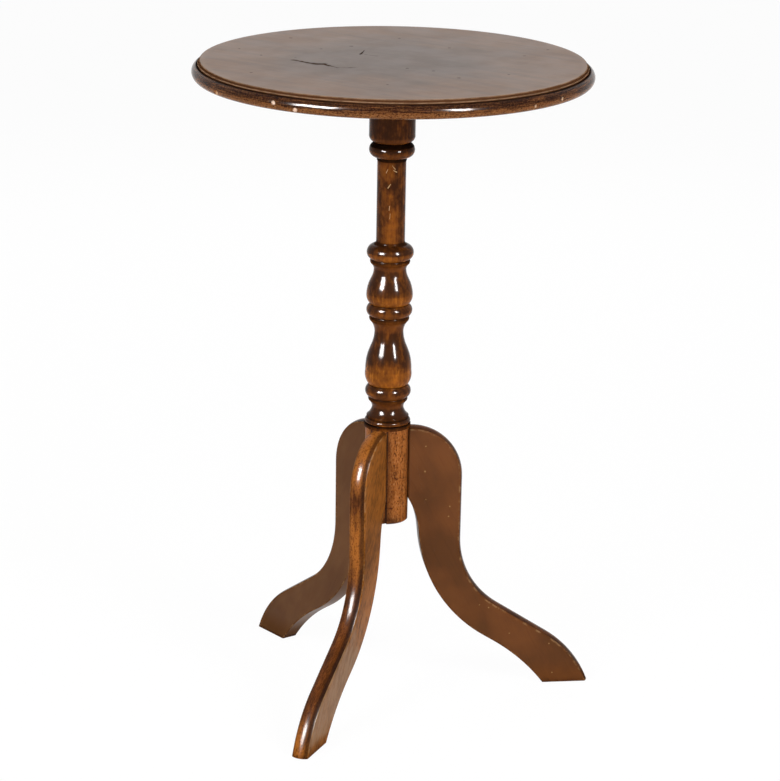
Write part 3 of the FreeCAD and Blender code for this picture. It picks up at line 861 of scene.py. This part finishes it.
def rim_finish():
    """Dark glossy polish, worn on its arrises, painted light making the low nose lighter and mottled,
    chipped to bare wood.
    """
    tree = new_finish("dark_rim_polish")
    height = tree.parts(tree.place())[2]
    streaks = tree.noise((26, 26, 1.1), detail=5, roughness=0.7)
    mottle = tree.noise((1.8, 1.8, 1.2), detail=3, roughness=0.7)
    # Painted light: the low part of the nose is lighter brown and more mottled
    low = height.within(*RIM_LIT_LOW_BAND)
    rim = (streaks + low * 0.3).step(0.44, 0.74).blend(RIM_DARK, RIM_BROWN)
    rim = (mottle.step(0.5, 0.66) * (0.15 + low * 0.65)).blend(rim, RIM_MOTTLE)
    rim = (mottle.within(0.36, 0.48) * 0.8).blend(rim, NEAR_BLACK)
    quirk = abs(height - (LEDGE_HEIGHT - EDGE_QUIRK)).within(*QUIRK_FADE)
    rim = (quirk * 0.9).blend(rim, NEAR_BLACK)
    ledge = height.step(LEDGE_HEIGHT - EDGE_QUIRK, LEDGE_HEIGHT - EDGE_QUIRK / 2)
    rim = (ledge * 0.8).blend(rim, RIM_LEDGE)
    patchy = tree.noise((9, 9, 9), detail=5).step(0.35, 0.6)
    arrises = ring_distance(tree, NOSE_ROOT, LEDGE_HEIGHT).within(*RIM_ARRIS_FADE)
    arrises = ring_distance(tree, FLAT_RADIUS, top_high.z).within(*RIM_ARRIS_FADE) + arrises
    rim = (arrises * (0.4 + patchy * 0.5)).blend(rim, RIM_WORN)
    chipped, pale = 0, 0
    for angle, chip_height, size, paleness in CHIPS:
        ragged = (tree.noise((2, 2, 2)) - 0.5) * CHIP_RAGGED
        chip = tree.distance(chip_centre(angle, chip_height)) + ragged
        spot = chip.within(*[share * size * MM for share in CHIP_SHARES])
        chipped, pale = spot + chipped, spot * paleness + pale
    rim = (chipped.capped(1.0) * 0.85).blend(rim, BARE_WOOD)
    rim = pale.capped(1.0).blend(rim, PALE_CHIP)
    polish = tree.surface(
        Base_Color=rim,
        Roughness=0.12 + mottle.within(0.3, 0.5) * 0.08,
        Specular_IOR_Level=0.055,
        Normal=tree.bump(mottle, RIM_BUMP),
    )
    return tree.close(polish, (ledge + quirk + chipped).capped(1.0), rim)


def joint_dirt_and_shade(tree, inner, outer):
    """1 along the hub's lines where the legs meet it, and less further off."""
    dirt = 0
    for turn in LEG_TURNS.values():
        out, across, _ = tree.parts(tree.turned_place((0, 0, turn)))
        line = abs(abs(across) - LEG_THICKNESS / 2).within(inner, outer)
        dirt = line * out.step(0, HUB_RADIUS / 2) + dirt
    return dirt.capped(1.0)


def hub_wood(tree, streaks, clouds):
    """Colour of the hub: open-pored orange-brown, painted shade and a dark line at the leg joints, darker at
    its foot.
    """
    height = tree.parts(tree.place())[2]
    pores = tree.noise((1.2, 1.2, 2.4), detail=2, roughness=0.4)
    wood = (streaks * 0.5 + clouds * 0.5).step(0.35, 0.65).blend(HUB_BROWN, HUB_ORANGE)
    wood = (pores.step(0.56, 0.64) * 0.8).blend(wood, HUB_PORES)
    wood = (pores.within(0.32, 0.4) * 0.4).blend(wood, HUB_FLECKS)
    # Painted shade where the legs shade the hub beside their joints, then a dark line along each joint
    wood = (joint_dirt_and_shade(tree, *JOINT_SHADE_FADE) * 0.55).blend(wood, HUB_JOINT_SHADE)
    wood = (joint_dirt_and_shade(tree, *JOINT_DIRT_FADE) * 0.85).blend(wood, NEAR_BLACK)
    foot = height.within(*HUB_FOOT_BAND) * clouds.step(0.42, 0.58)
    return (foot * 0.8).blend(wood, DARK_BROWN)


def column_finish():
    """Dark glossy lacquer: a painted amber glow on bellies and faces that look down, grime with painted
    shade in quirks.
    """
    tree = new_finish("amber_column_lacquer")
    height = tree.parts(tree.place())[2]
    slope = tree.parts(tree.node("ShaderNodeNewGeometry", output="Normal"))[2]
    grime_and_shade, amber_and_glow = tree.attribute("grime_and_shade"), tree.attribute("amber_and_glow")
    fibres = tree.noise((0.8, 0.8, 12), detail=3)
    streaks = tree.noise((2.4, 2.4, 30), detail=4)
    clouds = tree.noise((6, 6, 10), detail=5, roughness=0.65)
    patches = tree.noise((14, 14, 20), shift=0.4, detail=2)
    sheen = (clouds - 0.5) * 1.4 + (streaks - 0.5) * 0.7 + (patches - 0.5) * 1.1
    # Painted light: faces that look down are lighter and more amber, faces that look up darker
    painted_glow_below = slope.within(-0.35, 0.25)
    wood = (painted_glow_below + sheen).step(0.0, 1.0).blend(DARK_BROWN, COLUMN_BROWN)
    wood = ((amber_and_glow * 0.9 + painted_glow_below * 0.1 + sheen).step(0.1, 1.3) * 0.9).blend(wood, AMBER)
    wood = (amber_and_glow.step(0.4, 1.0) * (clouds + streaks).step(1.02, 1.3) * 0.5).blend(wood, GOLD)
    wood = (fibres.step(0.5, 0.72) * 0.35).blend(wood, DARK_BROWN)
    nicks = 0
    for start, end in NICKS:
        nick = near_line(tree, start, end) + (clouds - 0.45) * NICK_RAGGED
        nicks = nick.within(*NICK_FADE) + nicks
    wood = (nicks.capped(1.0) * 0.75).blend(wood, NICKED)
    hub = height.within(*HUB_BAND)
    lacquer = tree.surface(
        Base_Color=hub.blend(wood, hub_wood(tree, streaks, clouds)),
        Roughness=0.14 + hub * 0.18,
        Specular_IOR_Level=0.05,
        Normal=tree.bump(fibres * hub, GRAIN_BUMP),
    )
    # The matt share holds grime and painted shade, in the quirks and on the ring under the drum
    dirt_and_shade = grime_and_shade.step(0.3, 0.9).blend(wood, NEAR_BLACK)
    return tree.close(lacquer, grime_and_shade.step(0.05, 0.5) * (0.9 - hub * 0.9), dirt_and_shade)


# How each leg's crown differs, in mm: the heights where it has a painted amber glow, and how far from its
# middle the painted shade reaches towards one side
CROWN_GLOWS = {"right": (), "left": (40,), "front": (245, 165, -8)}
CROWN_SHADES = {"right": 1.0, "left": 5.0, "front": 5.0}
# Dings in the near side of the right leg, each so far out and so far up in mm
DINGS = (
    (36, 243), (35.6, 218), (37, 190), (60, 182.5), (59, 172.5), (91, 82), (100, 79), (121, 52),
    (147, 57), (160, 40), (164, 10),
)


def leg_sides(tree, name, turn):
    """Colour of a leg's flat sides: brown along the grain with a few pale dings.

    The front leg's sides are open-pored and blotchy, and bleached near the floor.
    """
    height = tree.parts(tree.place())[2]
    grain = tree.turned_place((0, LEG_GRAIN, turn))
    shift = turn / FULL_TURN
    fibres = tree.noise((1.2, 1.2, 40), grain, shift, detail=4)
    clouds = tree.noise((45, 45, 70), grain, shift, detail=4)
    dark, light = LEG_SIDES[name]
    side = clouds.step(0.36, 0.66).blend(dark, light)
    side = (fibres.step(0.52, 0.78) * 0.25).blend(side, DARK_BROWN)
    if name == "front":
        pores = tree.noise((2.2, 2.2, 7), grain, detail=2, roughness=0.5)
        blotches = tree.noise((6, 6, 20), grain, shift, detail=5, roughness=0.7)
        side = (pores.step(0.52, 0.62) * 0.45).blend(side, DARK_BROWN)
        side = (pores.within(0.36, 0.46) * 0.4).blend(side, SIDE_FLECKS)
        side = (blotches.step(0.48, 0.62) * 0.25).blend(side, DARK_BROWN)
        edge = height + (clouds - 0.5) * BLEACH_WAVES + (blotches - 0.5) * BLEACH_BLOTCHES
        bleached = edge.within(*BLEACH_BAND) * height.step(*BLEACH_FOOT)
        patchy = 0.45 + fibres.step(0.35, 0.6) * 0.15 + blotches.within(0.42, 0.56) * 0.35
        side = (bleached * patchy).blend(side, SIDE_BLEACHED)
    if name == "right":
        pale = 0
        for x, z in DINGS:
            ding = tree.distance((x * MM, -LEG_THICKNESS / 2, z * MM)) + (fibres - 0.5) * DING_RAGGED
            pale = ding.within(*DING_FADE) + pale
        return (pale.capped(1.0) * 0.45).blend(side, BARE_WOOD)
    return (tree.spots(24, 0.8) * 0.4).blend(side, BARE_WOOD)


def leg_crown(tree, name, turn):
    """Colour of a leg's crowned face: mottled along its run, painted amber glow in places, painted shade by
    its arrises.
    """
    height = tree.parts(tree.place())[2]
    across = tree.parts(tree.turned_place((0, 0, turn)))[1]
    run = tree.node("ShaderNodeCombineXYZ", inputs={0: tree.attribute("along"), 1: across})
    shift = turn / FULL_TURN
    flame = tree.noise((26, 6, 1), run, shift, detail=5, roughness=0.6)
    threads = tree.noise((9, 0.9, 1), run, shift, detail=3)
    mottle = tree.noise((2.2, 1.4, 1), run, shift, detail=2)
    glow = 0
    for middle in CROWN_GLOWS[name]:
        glow = abs(height - middle * MM).within(*GLOW_FADE) + glow
    face = (flame * 0.6 + threads * 0.4).step(0.34, 0.6).blend(DARK_BROWN, CROWN_BROWN)
    # Painted glow: amber at the heights in CROWN_GLOWS, over amber figure in the wood
    face = ((glow * 0.75 + (flame - 0.5) * 1.5).step(0.0, 0.8) * 0.9).blend(face, CROWN_AMBER)
    face = (mottle.step(0.48, 0.66) * 0.55).blend(face, DARK_BROWN)
    # Painted shade along the sides of the crown, next to its arrises
    painted_far_shade = (across + (flame - 0.5) * FAR_SHADE_RAGGED).step(*FAR_SHADE)
    shade = CROWN_SHADES[name] * MM
    painted_near_shade = (0 - across).step(shade, shade + NEAR_SHADE_WIDTH) * 0.6
    return ((painted_far_shade + painted_near_shade).capped(1.0) * 0.75).blend(face, NEAR_BLACK)


def leg_finish(name, turn):
    """Glossy on the crown, duller on the flat sides, pale in places on the worn arrises."""
    tree = new_finish(f"{name}_leg_polish")
    crown, arris = tree.attribute("crown").step(0.3, 0.9), tree.attribute("arris")
    height = tree.parts(tree.place())[2]
    wood = crown.blend(leg_sides(tree, name, turn), leg_crown(tree, name, turn))
    wear = tree.noise((9, 9, 9), shift=turn, detail=5, roughness=0.7)
    wood = (arris.step(0.6, 1.0) * wear.step(0.48, 0.62) * 0.6).blend(wood, LEG_WORN)
    seat = tree.axis_distance().within(*SEAT_BAND)
    wood = (seat * 0.7).blend(wood, NEAR_BLACK)
    wood = (height.within(*SOLE_BAND) * 0.5).blend(wood, DARK_BROWN)
    polish = tree.surface(
        Base_Color=wood,
        Roughness=0.28 + wear * 0.06 - crown * 0.1,
        Specular_IOR_Level=0.05,
        Normal=tree.bump(wear, GRAIN_BUMP),
    )
    scuffed = height.within(*SCUFF_BAND) * 0.8
    return tree.close(polish, (arris.step(0.6, 1.0) * 0.9 + scuffed).capped(1.0), wood)


def bare_finish(name, wood, turn):
    """Unpolished wood with plain straight grain, from its dark and its light colour."""
    tree = new_finish(name)
    grain = tree.turned_place(turn)
    streaks = tree.noise((80, 1.5, 1.5), grain, detail=4)
    bands = tree.noise((120, 12, 12), grain, detail=2)
    bare = tree.surface(
        Base_Color=(streaks * 0.6 + bands * 0.4).step(0.3, 0.7).blend(*wood),
        Roughness=0.55 + streaks * 0.15,
        Specular_IOR_Level=0.1,
        Normal=tree.bump(streaks, GRAIN_BUMP),
    )
    return tree.close(bare)


def steel_finish():
    """Steel that has dulled in small patches."""
    tree = new_finish("dulled_screw_steel")
    spots = tree.noise((1.2, 1.2, 1.2), detail=3)
    steel = tree.surface(
        Base_Color=spots.step(0.4, 0.7).blend(*SCREW_STEEL),
        Metallic=1.0,
        Roughness=0.35 + spots * 0.25,
    )
    return tree.close(steel)


# Camera, as fitted to the photograph
CAMERA_PLACE = (-0.3878, -2.8636, 1.1636)
CAMERA_HEADING = math.radians(-7.751)
CAMERA_PITCH = math.radians(16.705)
CAMERA_ROLL = math.radians(0.992)
CAMERA_LENS = 148.15
CAMERA_REACH = 100


def make_camera():
    """The camera at the photograph's viewing angle."""
    data = bpy.data.cameras.new("camera")
    data.lens = CAMERA_LENS
    data.clip_end = CAMERA_REACH
    camera = bpy.data.objects.new("camera", data)
    bpy.context.scene.collection.objects.link(camera)
    turn = Matrix.Rotation(CAMERA_HEADING, 4, "Z")
    tilt = Matrix.Rotation(math.radians(90) - CAMERA_PITCH, 4, "X")
    roll = Matrix.Rotation(CAMERA_ROLL, 4, "Z")
    camera.matrix_world = Matrix.Translation(CAMERA_PLACE) @ turn @ tilt @ roll
    bpy.context.scene.camera = camera


# Kinds of ray that see the studio as white, and what share of that white lights the table
WHITE_RAYS = ("Camera", "Glossy", "Transmission")
STUDIO_FILL = 0.25

# Floor: half its width, the grey that keeps the table's shadow, and the strength and share of white over it
FLOOR_HALF = 30
FLOOR_GREY = colour(230, 230, 230)
FLOOR_SHINE = 1.02
FLOOR_WHITE_SHARE = 0.94

# The lamps share a distance and an elevation. Each has its bearing from the camera in degrees, its width and
# height, and its brightness.
LAMP_DISTANCE = 2.2
LAMP_ELEVATION = math.radians(30)
PLAIN_LAMPS = {
    "left_light": (-42, (0.8, 1.3), 8),
    "right_light": (42, (0.5, 1.3), 14),
    "back_light": (180, (1.2, 1.3), 2.5),
}
GLEAMS = {
    "left_gleam": (-44, (0.8, 0.95), 340),
    "right_gleam": (38, (0.36, 1.0), 380),
}

# Screen round the top, clear of its rim and its face
FLAG_GAP = 6 * MM
FLAG_FOOT = 2 * MM
FLAG_HEIGHT = 250 * MM


def make_lamp(name, bearing, size, brightness, mirrored, past_flag=None):
    """A tall soft lamp that faces the column, for plain light or for its mirror image alone.

    Light that goes past the flag isn't held back by the screen round the top.
    """
    data = bpy.data.lights.new(name, "AREA")
    data.shape = "RECTANGLE"
    data.size, data.size_y = size
    data.energy = brightness * math.pi * data.size * data.size_y
    lamp = bpy.data.objects.new(name, data)
    bpy.context.scene.collection.objects.link(lamp)
    heading = CAMERA_HEADING + math.radians(bearing)
    back = Vector((math.sin(heading), -math.cos(heading), math.tan(LAMP_ELEVATION))).normalized()
    lamp.location = Vector((0, 0, HUB_TOP)) + back * LAMP_DISTANCE
    lamp.rotation_mode = "QUATERNION"
    lamp.rotation_quaternion = (-back).to_track_quat("-Z", "Y")
    lamp.visible_glossy = mirrored
    lamp.visible_diffuse = not mirrored
    lamp.light_linking.blocker_collection = past_flag


def shown_white(tree):
    """1 for the rays that show a background: to the camera, in a polish and through glass."""
    rays = [tree.node("ShaderNodeLightPath", output=f"Is {kind} Ray") for kind in WHITE_RAYS]
    return sum(rays).capped(1.0)


def make_floor():
    """A wide pale floor that keeps the table's shadow."""
    mesh = bmesh.new()
    bmesh.ops.create_grid(mesh, x_segments=1, y_segments=1, size=FLOOR_HALF)
    floor = new_object("floor", mesh)
    tree = new_finish("pale_floor")
    plain = tree.node("ShaderNodeBsdfDiffuse", inputs={"Color": FLOOR_GREY})
    white = tree.node("ShaderNodeEmission", inputs={"Color": WHITE, "Strength": FLOOR_SHINE})
    share = shown_white(tree) * FLOOR_WHITE_SHARE
    pale = tree.node("ShaderNodeMixShader", inputs={0: share, 1: plain, 2: white})
    tree.node("ShaderNodeOutputMaterial", inputs={"Surface": pale})
    floor.data.materials.append(tree.owner)


def studio_white(tree):
    """The colour of the studio's walls, and how strongly they shine for each kind of ray."""
    return {"Color": WHITE, "Strength": STUDIO_FILL + shown_white(tree) * (1 - STUDIO_FILL)}


def make_flag():
    """A screen, hidden from the camera, that keeps the gleams off the top's face.

    It shines as the walls behind it do. Gives back what lets the light of a plain lamp past it.
    """
    radius = top_high.x + FLAG_GAP
    foot = top_high.z + FLAG_FOOT
    pen = Pen(radius, foot)
    pen.line(radius, foot + FLAG_HEIGHT)
    flag = new_object("gleam_flag", pen.turned(TURNING_STEPS))
    tree = new_finish("flag_white")
    white = tree.node("ShaderNodeEmission", inputs=studio_white(tree))
    tree.node("ShaderNodeOutputMaterial", inputs={"Surface": white})
    flag.data.materials.append(tree.owner)
    flag.visible_camera = False
    past_flag = bpy.data.collections.new("all_but_the_flag")
    past_flag.objects.link(flag)
    past_flag.collection_objects[0].light_linking.link_state = "EXCLUDE"
    return past_flag


def make_studio():
    """White walls all round, the lamps and the screen."""
    world = bpy.data.worlds.new("studio")
    bpy.context.scene.world = world
    tree = Tree(world)
    white = tree.node("ShaderNodeBackground", inputs=studio_white(tree))
    tree.node("ShaderNodeOutputWorld", inputs={"Surface": white})
    past_flag = make_flag()
    for name, lamp in PLAIN_LAMPS.items():
        make_lamp(name, *lamp, mirrored=False, past_flag=past_flag)
    for name, lamp in GLEAMS.items():
        make_lamp(name, *lamp, mirrored=True)


underside = bare_finish("unpolished_underside", UNDERSIDE_WOOD, (0, 0, TOP_GRAIN))
make_top(top_finish(), rim_finish(), crack_finish(), underside)
make_column(column_finish())
for name, turn in LEG_TURNS.items():
    make_leg(name, turn, leg_finish(name, turn))
make_cleat(bare_finish("stained_cleat_wood", CLEAT_WOOD, (0, 0, 0)))
wedge_finish = bare_finish("bare_wedge_wood", WEDGE_WOOD, (0, FULL_TURN / 4, 0))
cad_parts["tenon_wedge"].material_slots[0].material = wedge_finish
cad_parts["cleat_screws"].material_slots[0].material = steel_finish()
make_camera()
make_floor()
make_studio()
bpy.context.scene.view_settings.view_transform = "Standard"
